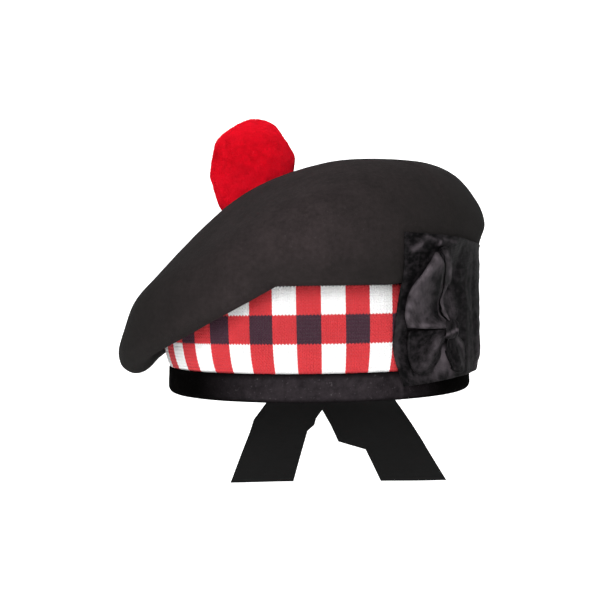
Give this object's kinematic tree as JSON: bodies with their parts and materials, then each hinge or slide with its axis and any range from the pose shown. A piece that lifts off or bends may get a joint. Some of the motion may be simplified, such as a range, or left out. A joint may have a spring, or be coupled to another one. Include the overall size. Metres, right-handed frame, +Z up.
{
  "type": "tam o shanter bonnet",
  "caption": "Soft round wool bonnet, drooping to one side, with a red pompom on top, a red, white and black diced band, a bound rim, a ribbon cockade and two ribbon tails at the back.",
  "frame": {"origin": "middle of the rim opening, in the plane of the rim's lower edge, where a head enters the bonnet", "axes": "+Z up out of the crown, -Y the front of the bonnet, +X the side of the cockade, -X the side to which the crown droops"},
  "size_m": [0.234, 0.24, 0.2541],
  "materials": {
    "crown_wool": "charcoal black felted wool with a short, soft nap",
    "toorie_wool": "dense clipped red wool pile",
    "diced_knit": "knitted wool, three rows of dicing in red, white and dark navy black",
    "binding_wool": "black fuzzy wool binding",
    "cockade_ribbon": "black satin ribbon with soft bluish highlights",
    "tail_ribbon": "flat black grosgrain ribbon"
  },
  "bodies": {
    "root": {"crown": "crown_wool", "toorie": "toorie_wool", "dice_band": "diced_knit", "rim_binding": "binding_wool", "cockade_back": "cockade_ribbon", "cockade_loop_upper_left": "cockade_ribbon", "cockade_loop_upper_right": "cockade_ribbon", "cockade_leaf_lower_left": "cockade_ribbon", "cockade_leaf_lower_right": "cockade_ribbon", "cockade_knot": "cockade_ribbon", "tail_left": "tail_ribbon", "tail_right": "tail_ribbon"}
  },
  "joints": []
}
